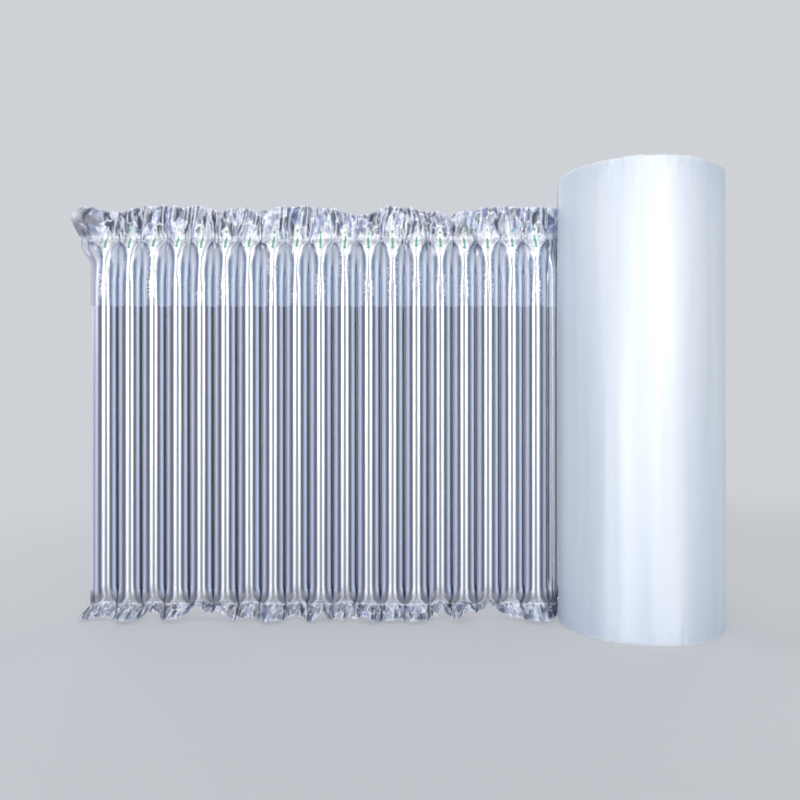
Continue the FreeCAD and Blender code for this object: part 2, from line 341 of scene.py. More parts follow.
def crinkled(nodes, links, above):
    """Painted light and shade of crumpled film: a flat painted tone on each facet, small along the
    foot and larger in the flap, with painted highlight lines along some of the creases."""
    tones, crease_highlights = [], []
    for scale, stretch, half, level in (HEM_FACETS, FLAP_FACETS):
        texture = nodes.new("ShaderNodeTexVoronoi")
        texture.voronoi_dimensions = "2D"
        texture.inputs["Scale"].default_value = scale
        links.new(placed(nodes, links, "UV", stretch), texture.inputs["Vector"])
        split = nodes.new("ShaderNodeSeparateColor")
        links.new(texture.outputs["Color"], split.inputs["Color"])
        streak = noise(nodes, links, 1.6 * scale, detail=2.0, output="UV")
        value = maths(nodes, links, "MULTIPLY_ADD", streak, 1.1, level)
        # Painted shade darkens the facets.
        value = maths(nodes, links, "SUBTRACT", value, attribute(nodes, "painted_shade"))
        tones.append(maths(nodes, links, "ADD", split.outputs["Red"], value))
        edge = ramp(nodes, links, creased(nodes, links, scale, stretch),
                    [(half, WHITE), (half * 1.6, BLACK)])
        some = ramp(nodes, links, noise(nodes, links, 0.9 * scale, output="UV"),
                    [(0.48, BLACK), (0.60, WHITE)])
        crease_highlights.append(times(nodes, links, edge, some))
    hem, flap = (ramp(nodes, links, tone, FACET_SHADES) for tone in tones)
    tone = mixed(nodes, links, above, hem, flap)
    crease_highlight = mixed(nodes, links, above, *crease_highlights)
    crease_highlight = maths(nodes, links, "SUBTRACT", crease_highlight, attribute(nodes, "painted_shade"), clamp=True)
    # Painted highlights along the creases.
    return mixed(nodes, links, crease_highlight, tone, (0.97, 0.99, 1.0))


def film_material(name, haze_and_highlight_tint, alphas, drop_highlight):
    """Thin glossy film. Alphas are for film that is clear and hazy. The third argument is the tint
    of the haze and of the painted highlights, and the fourth is the tint and alpha of the drops,
    which are painted highlights."""
    made, nodes, links, shader = material(name)
    haze_and_highlight, crumple = attribute(nodes, "haze_and_highlight"), attribute(nodes, "crumple")
    above = maths(nodes, links, "MULTIPLY_ADD", attribute(nodes, "height"), 2.0,
                  -2.0 * VALVE_FOOT / MM, clamp=True)
    loose = maths(nodes, links, "MULTIPLY_ADD", crumple, 3.0, -1.1, clamp=True)
    colour = mixed(nodes, links, loose, banded(nodes, links, above), crinkled(nodes, links, above))
    # Painted light: the lift layer paints the back film paler.
    colour = mixed(nodes, links, attribute(nodes, "lift"), colour, (0.80, 0.88, 1.0))
    # Painted highlight flecks, which also pit the gloss.
    speckle = noise(nodes, links, 5.0, detail=2.0, stretch=(1, 0.7, 1), output="UV")
    highlight_fleck = ramp(nodes, links, speckle, [(0.47, BLACK), (0.53, WHITE)])
    haze_and_highlight = maths(nodes, links, "MULTIPLY_ADD", highlight_fleck, attribute(nodes, "highlight_fleck"), haze_and_highlight, clamp=True)
    # Haze and painted highlights make the colour paler.
    colour = mixed(nodes, links, haze_and_highlight, colour, haze_and_highlight_tint)
    alpha = maths(nodes, links, "MULTIPLY_ADD", haze_and_highlight, alphas[1] - alphas[0], alphas[0])
    inside = drop_highlight_mask(nodes, links)
    # The drops are painted highlights.
    colour = mixed(nodes, links, inside, colour, drop_highlight[0])
    fade = maths(nodes, links, "SUBTRACT", 1.0, inside)
    alpha = maths(nodes, links, "MULTIPLY", alpha, fade)
    alpha = maths(nodes, links, "MULTIPLY_ADD", inside, drop_highlight[1], alpha, clamp=True)
    links.new(colour, shader.inputs["Base Color"])
    links.new(alpha, shader.inputs["Alpha"])
    rough = maths(nodes, links, "MULTIPLY_ADD", crumple, 0.40, 0.25)
    rough = maths(nodes, links, "MULTIPLY_ADD", attribute(nodes, "painted_shade"), 0.9, rough, clamp=True)
    links.new(rough, shader.inputs["Roughness"])
    glossed(nodes, links, shader, 1.9, 1.0, 0.9)
    folds = creased(nodes, links, FLAP_FACETS[0], FLAP_FACETS[1])
    folds = maths(nodes, links, "MULTIPLY", folds, crumple)
    pitted = maths(nodes, links, "MULTIPLY", speckle, attribute(nodes, "highlight_fleck"))
    folds = maths(nodes, links, "MULTIPLY_ADD", pitted, 0.3, folds)
    ripple = noise(nodes, links, 220.0, detail=1.0, stretch=(1, 1, 0.2))
    relief = maths(nodes, links, "MULTIPLY_ADD", ripple, 0.03, folds)
    bumped(nodes, links, shader, relief, 1.6 * MM)
    return made


def roll_material():
    """Many turns of clear film: milky, pale blue, and satin, with clouds drawn out lengthwise. They
    have painted shade near the two edges, a white rim, and are crinkled at the foot."""
    made, nodes, links, shader = material("wound_film")
    cloud = noise(nodes, links, 30.0, detail=5.0, stretch=(1, 1, 0.06))
    colour = ramp(nodes, links, cloud, [(0.34, (0.57, 0.66, 0.79)), (0.66, (0.77, 0.83, 0.90))])
    colour = mixed(nodes, links, attribute(nodes, "shade"), colour, (0.36, 0.46, 0.62))
    colour = mixed(nodes, links, attribute(nodes, "rim"), colour, (0.96, 0.98, 1.0))
    links.new(colour, shader.inputs["Base Color"])
    worn = noise(nodes, links, 22.0, detail=4.0, stretch=(1, 1, 0.1))
    rough = maths(nodes, links, "MULTIPLY_ADD", worn, 0.7, 0.24, clamp=True)
    links.new(rough, shader.inputs["Roughness"])
    glossed(nodes, links, shader, 1.93, 0.95, 0.3)
    pucker = noise(nodes, links, 60.0, stretch=(1, 1, 0.04))
    crinkle = noise(nodes, links, 160.0, stretch=(1, 1, 0.5))
    crinkle = maths(nodes, links, "MULTIPLY", crinkle, attribute(nodes, "foot"))
    pucker = maths(nodes, links, "MULTIPLY_ADD", crinkle, 3.0, pucker)
    bumped(nodes, links, shader, pucker, 0.4 * MM, 0.5)
    return made


def ink_material():
    """The green print on the valve throats."""
    made, nodes, links, shader = material("throat_ink")
    tone = noise(nodes, links, 900.0)
    colour = ramp(nodes, links, tone, [(0.35, (0.01, 0.34, 0.22)), (0.65, (0.04, 0.55, 0.38))])
    links.new(colour, shader.inputs["Base Color"])
    shader.inputs["Roughness"].default_value = 0.5
    return made


def card_material():
    """Brown fibrous board."""
    made, nodes, links, shader = material("core_board")
    fibre = noise(nodes, links, 500.0, detail=6.0, stretch=(1, 1, 0.4))
    colour = ramp(nodes, links, fibre, [(0.35, (0.30, 0.19, 0.11)), (0.65, (0.46, 0.31, 0.19))])
    links.new(colour, shader.inputs["Base Color"])
    shader.inputs["Roughness"].default_value = 0.85
    bumped(nodes, links, shader, fibre, 0.2 * MM)
    return made


# ---------------------------------------------------------------- the blown-up sheet
# Points across the sheet: in the loose margin before the first column, round each half tube, and
# round the lead to the roll.
MARGIN_POINTS = 4
TUBE_POINTS = 17
LEAD_POINTS = 10
LEAD_SHARES = np.linspace(0, 1, LEAD_POINTS + 1)[1:]
AT_SEAM = 0.999


def stations():
    """Places across the sheet. Each has its x once blown up, how far round its half tube it is from
    -1 to 1, its column, and its distance along the flat web."""
    rows = [(FIRST - RADIUS - MARGIN * (1 - share), -1.0, 0, -MARGIN * (1 - share))
            for share in np.linspace(0, 1, MARGIN_POINTS + 1)[:-1]]
    for column in range(COLUMNS):
        middle, flat = FIRST + column * PITCH, column * FLAT_PITCH
        rows += [(middle + RADIUS * math.sin(turn * math.pi / 2), turn, column,
                  flat + (turn + 1) / 2 * FLAT_TUBE) for turn in np.linspace(-1, 1, TUBE_POINTS)]
        rows.append((middle + RADIUS + SEAM / 2, 1.0, column, flat + FLAT_TUBE + SEAM / 2))
    return np.array(rows).T


STATION_X, TURN, COLUMN, FLAT = stations()
COLUMN = COLUMN.astype(int)
ROWS = np.concatenate([
    np.linspace(0, FEET_TOP, 28)[:-1],
    np.linspace(FEET_TOP, VALVE_FOOT, 25)[:-1],
    np.linspace(VALVE_FOOT, CHANNEL_SEAL, 36)[:-1],
    np.linspace(CHANNEL_SEAL, SHEET_TOP, 17),
])


def zigzag(turns):
    """A triangle wave from -1 to 1."""
    return 4 * np.abs(turns - np.floor(turns) - 0.5) - 1


def start_shape():
    """Both plies before they settle: tubes that run up to a ridge under the channel, spread out at
    their feet, and have loosely folded film beyond their ends."""
    chance = np.random.default_rng(4)
    x, turn, z, flat = STATION_X[:, None], TURN[:, None], ROWS[None, :], FLAT[:, None]
    crest = np.cos(turn * math.pi / 2)
    ridge = 0.75 * smooth(NECK, 0.336, z)
    profile = crest * (1 - ridge) + (1 - np.abs(np.sin(turn * math.pi / 2))) * ridge
    head = np.clip((CHANNEL_SEAL - z) / (34 * MM), 0, 1)
    foot = np.clip((z - HEM) / (18 * MM), 0, 1)
    full = (1 - (1 - head) ** 1.6) * (1 - (1 - foot) ** 2.2)
    foot_way = chance.choice([-1.0, 1.0], COLUMNS, p=[0.8, 0.2]) * chance.uniform(0.7, 1.1, COLUMNS)
    bow = 5.5 * MM * foot_way[COLUMN][:, None] * crest * (1 - foot) ** 2
    wander = 0.8 * value_noise(flat / (40 * MM), z / (30 * MM), 7)
    slope = 26 * (z - CHANNEL_SEAL) * value_noise(flat / 0.06, 0, 8)
    folds = 0.6 * zigzag(flat / (27 * MM) + wander + slope)
    folds = folds + 0.4 * zigzag(flat / (15 * MM) - wander - 34 * (z - CHANNEL_SEAL))
    bow = bow + 5.5 * MM * folds * smooth(0, 14 * MM, z - CHANNEL_SEAL + 4 * MM)
    crumple = value_noise(flat / (6 * MM), z / (9 * MM), 6)
    bow = bow + 1.0 * MM * crumple * np.maximum(1 - foot, 1 - head)
    return [np.stack(np.broadcast_arrays(x, SHEET_Y + bow + side * full * RADIUS * profile, z), -1)
            for side in (-1, 1)]


def pull(points, first, second, rest, least, most, stiffness):
    """Moves pairs of points so that they are between least and most times their rest apart."""
    gap = points[second] - points[first]
    length = np.sqrt((gap * gap).sum(axis=-1)) + 1e-9
    excess = length - np.clip(length, least * rest, most * rest)
    move = gap * (0.5 * stiffness * excess / length)[..., None]
    points[first] += move
    points[second] -= move


def settle(plies, rounds):
    """Cloth simulation, position by position: film that is wider flat than in its place folds by
    itself, and air holds the columns open. The middle of the sheet stays where it is."""
    everything = slice(None)
    pairs = {}
    for name, count in (("across", len(FLAT)), ("up", len(ROWS))):
        for reach in (1, 2):
            index = np.arange(count - reach)
            pairs[name, reach] = [index[(index // reach) % 2 == colour] for colour in (0, 1)]
    across, up = {}, {}
    for reach in (1, 2):
        across[reach] = (FLAT[reach:] - FLAT[:-reach])[:, None]
        up[reach] = (ROWS[reach:] - ROWS[:-reach])[None, :]
    slant = np.sqrt(across[1] ** 2 + up[1] ** 2)
    seam = np.abs(TURN) > AT_SEAM
    beyond = (ROWS <= HEM + CLOSE) | (ROWS >= CHANNEL_SEAL - CLOSE)
    weld = seam[:, None] | beyond[None, :]
    held = 1 - smooth(NECK, 0.342, ROWS) * 0.97 - smooth(0.040, 0.022, ROWS) * 0.97
    held = (held ** 3)[None, :, None]
    puff = 0.02 * MM
    give = 0.3 * MM
    low, high = slice(0, -1), slice(1, None)
    starts = [ply.copy() for ply in plies]
    for _ in range(rounds):
        for ply, side in zip(plies, (-1, 1)):
            for some in pairs["across", 1]:
                following = some + 1
                pull(ply, (some, everything), (following, everything), across[1][some], 1, 1, 1)
                pull(ply, (some, low), (following, high), slant[some], 0.97, 1.03, 0.5)
                pull(ply, (some, high), (following, low), slant[some], 0.97, 1.03, 0.5)
            for some in pairs["up", 1]:
                pull(ply, (everything, some), (everything, some + 1), up[1][:, some], 1, 1, 1)
            for some in pairs["across", 2]:
                pull(ply, (some, everything), (some + 2, everything),
                     across[2][some], 0.7, 1.1, 0.3)
            for some in pairs["up", 2]:
                pull(ply, (everything, some), (everything, some + 2), up[2][:, some], 0.9, 1.1, 0.3)
            du, dv = np.zeros_like(ply), np.zeros_like(ply)
            du[1:-1] = ply[2:] - ply[:-2]
            dv[:, 1:-1] = ply[:, 2:] - ply[:, :-2]
            out = np.cross(du, dv)
            out /= np.sqrt((out * out).sum(axis=-1))[..., None] + 1e-12
            ply -= side * out * (puff * ~weld)[..., None]
        middle = (plies[0] + plies[1]) / 2
        for ply, start in zip(plies, starts):
            ply[weld] = middle[weld]
            nearest, furthest = SHEET_Y - RADIUS - give, SHEET_Y + RADIUS + give
            np.clip(ply[..., 1], nearest, furthest, out=ply[..., 1])
            ply += (start - ply) * held
    return plies


# Where the top edge sags and where the foot lifts: the column, the depth in millimetres, and how
# many columns wide.
TOP_SAGS = ((0.1, 5, 0.45), (0.8, 3.5, 0.5), (4.8, 4.5, 0.5), (6.4, 4.8, 0.55), (9.2, 2, 0.5),
            (10.25, 7, 0.45), (11.0, 7, 0.45), (13.4, 4.5, 0.5), (14.4, 8, 0.5), (15.3, 3, 0.5),
            (18.9, 2.5, 0.4))
FOOT_LIFTS = ((2.0, 4, 0.3), (3.8, 9, 0.45), (4.7, 6, 0.4), (9.1, 4, 0.25), (10.8, 3, 0.3),
              (14.1, 5, 0.3), (15.2, 7, 0.4), (16.1, 8, 0.5), (18.8, 5, 0.3))
# How far the loose top corner reaches out, both in millimetres, by the depth below the top edge.
CORNER_DEPTHS = (0, 5.5, 11, 22, 29, 37, 49)
CORNER_REACHES = (6.4, 17, 16.2, 10, 6.4, 7, 0)


def trimmed(ply):
    """Gives the settled sheet its wavy top edge, its ragged foot and its slack corners."""
    z = ROWS[None, :]
    place = ((STATION_X - FIRST) / PITCH)[:, None]
    sag = sum(depth * MM * bell(place, where, width) for where, depth, width in TOP_SAGS)
    lift = sum(depth * MM * bell(place, where, width) for where, depth, width in FOOT_LIFTS)
    sag = sag - 0.4 * MM * value_noise(place * 1.7, 0, 14) - 2.5 * MM
    lift = lift + 0.7 * MM * (1 + value_noise(place * 3.1, 0, 15))
    ply[..., 2] -= sag * smooth(CHANNEL_SEAL - 2 * MM, SHEET_TOP, z)
    ply[..., 2] += lift * smooth(HEM + 4 * MM, 0, z)
    forward = (17 * MM - 1.5 * lift) * (1 + 0.25 * value_noise(place * 1.9, 0, 17))
    low = np.clip((HEM - z) / HEM, 0, 1)
    curls = value_noise(FLAT[:, None] / (6 * MM) + 200 * z, z / (5 * MM), 18)
    ply[..., 1] -= forward * low ** 1.2 + 2.2 * MM * curls * np.sqrt(low)
    crest = np.cos(TURN * math.pi / 2)[:, None]
    ply[..., 2] += 1.2 * MM * crest * bell(z, HEM, 9 * MM) * (1 + 0.4 * value_noise(place, 0, 16))
    margin = smooth(FIRST - RADIUS, FIRST - RADIUS - MARGIN, STATION_X)[:, None]
    ply[..., 1] += 3.5 * MM * margin * smooth(CHANNEL_SEAL, CHANNEL_SEAL - 30 * MM, z)
    corner = smooth(FIRST, FIRST - RADIUS - MARGIN, STATION_X)[:, None]
    reach = np.interp((SHEET_TOP - z) / MM, CORNER_DEPTHS, CORNER_REACHES) * MM
    ply[..., 0] -= corner * np.maximum(0, reach)
    ply[..., 0] -= corner * 6 * MM * smooth(14 * MM, 0, z)
    ply[..., 0] = np.maximum(ply[..., 0], CAD_BOX[0][0] - 3 * MM)
    ply[..., 2] = np.clip(ply[..., 2], 0, WEB)
    return ply


def with_lead(ply, bulge):
    """Carries a ply's last points round the bend to the roll, swelling towards the front."""
    last = ply[-1]
    steps = []
    full = smooth(HEM, 0.04, ROWS) * smooth(CHANNEL_SEAL, CHANNEL_SEAL - 0.03, ROWS)
    for share in LEAD_SHARES:
        angle = -math.pi / 2 + share * BEND_TURN
        spot = last.copy()
        spot[:, 0] += SEAM / 2 + BEND_RADIUS * math.cos(angle)
        spot[:, 1] = SHEET_Y + BEND_RADIUS + BEND_RADIUS * math.sin(angle)
        spot[:, 1] += (last[:, 1] - SHEET_Y) * (1 - share)
        spot[:, 1] -= bulge * full * math.sin(math.pi * share)
        spot[:, 2] += share ** 16 * (WEB / SHEET_TOP - 1) * last[:, 2]
        steps.append(spot)
    return np.concatenate([ply, np.stack(steps)])


# ---------------------------------------------------------------- the sheet's painted layers
# The place on the bands that flat film takes, and those of the loose margin's points.
FLAT_BAND = 0.705
MARGIN_BANDS = np.array([0.5, 0.62, 0.66, 0.69])
# How the bands fade out round the lead to the roll, by the share of the way.
LEAD_PLACES = (0, 0.12, 0.22, 0.32, 0.4, 0.5, 1)
LEAD_BANDS = (1, 0.6, 0.4, 0.25, 0.12, 0, 0.3)
# How much paler the back film is painted: painted light, so that its painted bands look less dark
# under the dimmer light from behind.
BACK_PAINTED_LIGHT = 0.22


def creases(ply, side):
    """Where the settled film is sharply folded, from 0 up, by how far a point stands out of the
    mean of those round it."""
    stands = np.zeros(ply.shape[:2])
    stands[1:-1] += ply[2:, :, 1] + ply[:-2, :, 1] - 2 * ply[1:-1, :, 1]
    stands[:, 1:-1] += ply[:, 2:, 1] + ply[:, :-2, 1] - 2 * ply[:, 1:-1, 1]
    stands = -side * stands
    return smooth(0.7 * MM, 1.7 * MM, stands) + 0.6 * smooth(0.9 * MM, 1.8 * MM, -stands)


def flat_rows():
    """The hem, and the channel with the flap above it, each from 0 to 1 up the rows."""
    hem = smooth(HEM + 2 * MM, HEM - 2 * MM, ROWS)
    return hem, smooth(CHANNEL_SEAL - 3 * MM, CHANNEL_SEAL + 4 * MM, ROWS)


def spread(z):
    """How far from a column's crest its bands begin: they spread apart at its foot and its head."""
    foot = 0.42 * smooth(26 * MM, HEM - 1 * MM, z) ** 1.8
    head = 0.75 * smooth(CHANNEL_SEAL - 18 * MM, CHANNEL_SEAL + 3 * MM, z) ** 1.6
    return np.maximum(foot, head)


def band_places(z, shift, flat):
    """Each point's place on the bands, negative on its column's left, and the seams' places. The
    bands lean towards the gap after the thirteenth column, as if seen from in front of it. Above
    the feet, the dark bands nearest a seam don't show on a column's left."""
    lean = -0.6 * (STATION_X - (FIRST + 12.5 * PITCH))[:, None]
    leaned = TURN[:, None] - lean
    leaned = np.where(leaned > 0, leaned / (1 - lean), leaned / (1 + lean))
    squeeze = 1 - 0.62 * smooth(0.020, 0.035, z)
    leaned = np.where(leaned < -0.5, -0.5 + squeeze * (leaned + 0.5), leaned)
    across = np.sign(leaned) * np.clip((np.abs(leaned) - shift) / (1 - shift), 0, 1)
    across = across * (1 - flat) + FLAT_BAND * flat * np.sign(TURN[:, None])
    across[:MARGIN_POINTS] = -MARGIN_BANDS[:, None]
    at_seam = np.abs(TURN)[:, None] > AT_SEAM
    seam = at_seam * (1 - flat) + FLAT_BAND * flat * at_seam
    seam[:MARGIN_POINTS] = 0
    return across, seam


def hazy(z, turn, shift, hem, low, corner, folded):
    """How pale the film is, from milky haze and painted highlights: pale in patches along the
    channel's seal, along the cut edges and on the loose corner's tip, with painted highlights on
    sharp folds and where the columns' feet flare."""
    patchy = smooth(-0.1, 0.5, value_noise(FLAT[:, None] / (7 * MM), z / (9 * MM), 51))
    sealed = CHANNEL_SEAL + 1 * MM + 3.5 * MM * value_noise(FLAT[:, None] / (8 * MM), 0, 56)
    haze_and_highlight = 0.9 * bell(z, sealed, 3 * MM) * (0.2 + 0.8 * patchy) + 0.2 * bell(z, HEM, 1.5 * MM)
    loose = 0.5 * smooth(CHANNEL_SEAL - 5 * MM, CHANNEL_SEAL + 1 * MM, z)
    # Painted highlights on sharp folds.
    haze_and_highlight = haze_and_highlight + folded * np.maximum(0.25 * hem, loose)
    haze_and_highlight = haze_and_highlight * (1 - 0.8 * corner)
    haze_and_highlight = haze_and_highlight + 0.6 * smooth(SHEET_TOP - 2 * MM, SHEET_TOP, z) + 0.5 * smooth(1.8 * MM, 0, z)
    tip = smooth(FIRST - RADIUS * 0.9, FIRST - RADIUS - MARGIN * 0.5, STATION_X)[:, None]
    haze_and_highlight = haze_and_highlight + 0.95 * tip * bell(z, SHEET_TOP - 7 * MM, 5 * MM)
    # Painted highlights where the feet flare: streaks inside each foot and a line along its edges.
    inner = turn / np.maximum(shift, 1e-3)
    streaks = smooth(-0.2, 0.6, value_noise(inner * 2.3 + 7 * COLUMN[:, None], 0 * z, 53))
    inside = smooth(1.0, 0.7, inner) * smooth(26 * MM, 16 * MM, z) * low
    haze_and_highlight = haze_and_highlight + (0.3 + 0.6 * streaks) * inside
    return haze_and_highlight + 1.0 * bell(inner, 0.9, 0.26) * smooth(27 * MM, 17 * MM, z) * low


def dimmed(z, turn, shift, hem, channel, low, corner):
    """Painted shade: in the corner and the margin, at the columns' heads, and beside their feet."""
    arch = bell(z, CHANNEL_SEAL - 6 * MM, 16 * MM) * (1 - channel) * smooth(0.25, 0.4, turn)
    beside = smooth(0.06, 0.16, turn - shift) * smooth(29 * MM, 19 * MM, z) * low
    margin = smooth(FIRST - RADIUS * 0.8, FIRST - RADIUS, STATION_X)[:, None]
    painted_shade = np.maximum(0.2 * corner, 0.32 * arch)
    painted_shade = np.maximum(painted_shade, np.maximum(0.75 * beside, 0.14 * hem))
    return np.maximum(painted_shade, 0.35 * margin * (z > VALVE_FOOT))


def masks(ply, side):
    """The layers that the film's material reads, over the sheet. Haze with painted highlights,
    crumple, painted highlight flecks, painted shade, and lift, which paints the back film paler,
    are shares.
    Across and seam are places on the painted bands. Away is the distance from the crest over the
    flat web, and height the one up it, both in millimetres."""
    z = ROWS[None, :]
    turn = np.abs(TURN)[:, None]
    hem, channel = (rows[None, :] for rows in flat_rows())
    low = smooth(HEM - 2 * MM, HEM + 2 * MM, z)
    corner = smooth(FIRST, FIRST - RADIUS, STATION_X)[:, None] * channel
    folded = creases(ply, side) * (1 - 0.8 * corner)
    shift = spread(z)
    across, seam = band_places(z, shift, np.maximum(hem, channel))
    crest = np.cos(turn * math.pi / 2)
    crumple = 0.7 * channel + 0.7 * hem + 0.2 * bell(z, CHANNEL_SEAL - 4 * MM, 6 * MM)
    crumple = crumple + 0.2 * crest ** 2 * smooth(0.295, 0.315, z) * smooth(0.35, 0.335, z)
    # Painted highlight: white flecks where the crest's highlight lies below the channel.
    highlight_fleck = bell(turn, 0.17, 0.11) * smooth(0.283, NECK, z)
    highlight_fleck = highlight_fleck * smooth(CHANNEL_SEAL, CHANNEL_SEAL - 6 * MM, z)
    highlight_fleck = highlight_fleck * smooth(-0.6, 0.5, value_noise(COLUMN[:, None] * 1.7, z / (17 * MM), 55))
    layers = {"haze_and_highlight": hazy(z, turn, shift, hem, low, corner, folded),
              "across": across, "seam": seam, "crumple": crumple, "highlight_fleck": highlight_fleck,
              "lift": (BACK_PAINTED_LIGHT if side > 0 else 0.0) + 0 * z,
              "painted_shade": dimmed(z, turn, shift, hem, channel, low, corner),
              "away": turn * FLAT_TUBE / 2 / MM, "height": z / MM}
    size = (len(FLAT), len(ROWS))
    return {name: np.broadcast_to(values, size) for name, values in layers.items()}


# ---------------------------------------------------------------- the sheet's pieces
BAND_INSET = 0.4 * MM
BAND_UV_SHIFT = 3.7 * MM
# The dash and the bead on each printed throat, and the dot over it: how wide each is.
DASH, BEAD, DOT = 2.2 * MM, 2.7 * MM, 2.6 * MM
MARK_INSET = 0.2 * MM


def build_film(name, ply, flip, bulge, node, finish):
    """One ply of the sheet, with the lead that takes it to the roll."""
    film = grid(name, with_lead(ply, bulge), flip)
    lead = np.interp(LEAD_SHARES, LEAD_PLACES, LEAD_BANDS)[:, None]
    flat = np.maximum(*flat_rows())[None, :]
    for layer, values in masks(ply, 1 if flip else -1).items():
        values = np.concatenate([values, np.repeat(values[-1:], LEAD_POINTS, axis=0)])
        if layer in ("across", "seam"):
            values[-LEAD_POINTS:] = lead * (layer == "across") * (1 - flat) + FLAT_BAND * flat
        paint(film, layer, values)
    beyond = FLAT[-1] + np.arange(1, LEAD_POINTS + 1) * LEAD_STEP
    paint_flat(film, np.concatenate([FLAT, beyond]), ROWS)
    film.data.materials.append(finish)
    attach(film, "root")
    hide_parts(node)
    return film


def build_valve_film(ply, finish):
    """The band of inner film that lies along the inside of the front film."""
    rows = (ROWS >= VALVE_FOOT - CLOSE) & (ROWS <= VALVE_HEAD + 1 * MM)
    band = ply[MARGIN_POINTS:, rows].copy()
    band[..., 1] += BAND_INSET
    film = grid("valve_film_band", band)
    for layer, values in masks(ply, -1).items():
        paint(film, layer, values[MARGIN_POINTS:, rows])
    paint_flat(film, FLAT[MARGIN_POINTS:] + BAND_UV_SHIFT, ROWS[rows])
    film.data.materials.append(finish)
    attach(film, "root")
    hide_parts("valve_film")
    return film


def build_marks(ply, finish):
    """The printed throats, one a column: a dash down the crest and a dot over the seal."""
    chance = np.random.default_rng(77)
    points, faces = [], []
    for column in range(COLUMNS):
        middle = MARGIN_POINTS + column * (TUBE_POINTS + 1) + TUBE_POINTS // 2
        lean = chance.uniform(-0.8, 0.8) * MM
        foot = CHANNEL_SEAL - chance.uniform(8.5, 10.5) * MM
        dash = (foot, CHANNEL_SEAL + chance.uniform(1, 4) * MM, DASH)
        bead = (foot - 1 * MM, foot + 1.4 * MM, BEAD)
        dot_z = CHANNEL_SEAL + chance.uniform(6, 9) * MM
        dot = (dot_z - 1.3 * MM, dot_z + 1.3 * MM, DOT)
        for low, high, width in (dash, bead, dot):
            steps = np.linspace(low, high, 9)
            start = len(points)
            for step in steps:
                share = (step - low) / (high - low)
                spot = [np.interp(step, ROWS, ply[middle, :, axis]) for axis in range(3)]
                half = width / 2 * (0.5 + 0.5 * math.sin(math.pi * share))
                half *= chance.uniform(0.85, 1.1)
                x, y = spot[0] + lean * (step - foot) / (20 * MM), spot[1] + MARK_INSET
                points += [(x - half, y, spot[2]), (x + half, y, spot[2])]
            faces += [(start + 2 * i, start + 2 * i + 1, start + 2 * i + 3, start + 2 * i + 2)
                      for i in range(len(steps) - 1)]
    marks = new_mesh("valve_throat_print", points, faces)
    marks.data.materials.append(finish)
    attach(marks, "root")
    return marks


# ---------------------------------------------------------------- the roll
ROLL_SIDES = 288
RING_POINTS = 39
WALL_INSET = 0.4 * MM
CORE_GAP = 0.2 * MM
EDGE_ZONE = 0.02


def build_roll(finish):
    """The wound turns: a wall with faint streaks, and two ends that show the edges of the turns."""
    angles = np.linspace(0, 2 * math.pi, ROLL_SIDES + 1)[:, None]
    wall = np.concatenate([
        np.linspace(0, EDGE_ZONE, 14)[:-1],
        np.linspace(EDGE_ZONE, WEB - EDGE_ZONE, 46)[:-1],
        np.linspace(WEB - EDGE_ZONE, WEB, 14)])[None, :]
    lap = angles / (2 * math.pi) * 64
    lap[-1] = 0
    edge = np.minimum(wall, WEB - wall)
    radius = ROLL_RADIUS - WALL_INSET + 0.15 * MM * value_noise(lap, wall * 6, 41)
    radius = radius + 0.3 * MM * value_noise(lap * 4, wall * 70, 42) * (1 - smooth(0, 0.03, edge))
    radius = radius - 0.8 * MM * np.exp(-edge / (1.2 * MM))
    uneven = 2.5 * MM * (0.5 + 0.5 * np.cos(angles)) ** 2 + 0.5 * MM * value_noise(lap, 0, 44)
    outer_end = smooth(-2.0, -2.1, np.arctan2(np.sin(angles), np.cos(angles)))
    uneven = np.maximum(uneven + 1.0 * MM * outer_end, 0)
    height = wall - uneven * smooth(WEB - 0.05, WEB, wall)
    ring = (np.cos(angles), np.sin(angles))
    walls = np.stack(np.broadcast_arrays(radius * ring[0], radius * ring[1], height), -1)
    inner = CORE_HIGH[0] + CORE_GAP
    share = np.linspace(0, 1, RING_POINTS + 1)[None, 1:]
    ends = []
    for top in (False, True):
        rim = radius[:, -1 if top else 0][:, None]
        across = rim + (inner - rim) * share
        turns = value_noise(across / (0.9 * MM), 0, 43) * smooth(0, 0.1, share)
        if top:
            z = WEB - 0.4 * MM - uneven + 0.35 * MM * turns
        else:
            z = 0.3 * MM * (1 + turns) * smooth(0, 0.15, share)
        ends.append(np.stack(np.broadcast_arrays(across * ring[0], across * ring[1], z), -1))
    roll = grid("wound_turns", np.concatenate([ends[0][:, ::-1], walls, ends[1]], axis=1))
    layers = {"rim": np.exp(-edge / (1.3 * MM)), "foot": np.exp(-wall / (14 * MM)),
              "shade": 0.42 * np.exp(-edge / (26 * MM))}
    unpainted = np.zeros((len(angles), RING_POINTS))
    for layer, values in layers.items():
        values = np.repeat(values, len(angles), axis=0)
        paint(roll, layer, np.concatenate([unpainted, values, unpainted], axis=1))
    roll.data.materials.append(finish)
    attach(roll, "root")
    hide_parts("film_roll")
    return roll


# ---------------------------------------------------------------- stage
PALE = (0.62, 0.64, 0.67, 1.0)
MIDDLE_X = -0.2
COOL, WARM = (0.95, 0.975, 1.0), (1.0, 0.96, 0.945)


def seen_ray(nodes, links):
    """1 where the stage is seen in the picture, in a reflection or through the film."""
    path = nodes.new("ShaderNodeLightPath")
    camera, through = path.outputs["Is Camera Ray"], path.outputs["Is Transmission Ray"]
    seen = maths(nodes, links, "MAXIMUM", camera, through)
    return maths(nodes, links, "MAXIMUM", seen, path.outputs["Is Glossy Ray"])


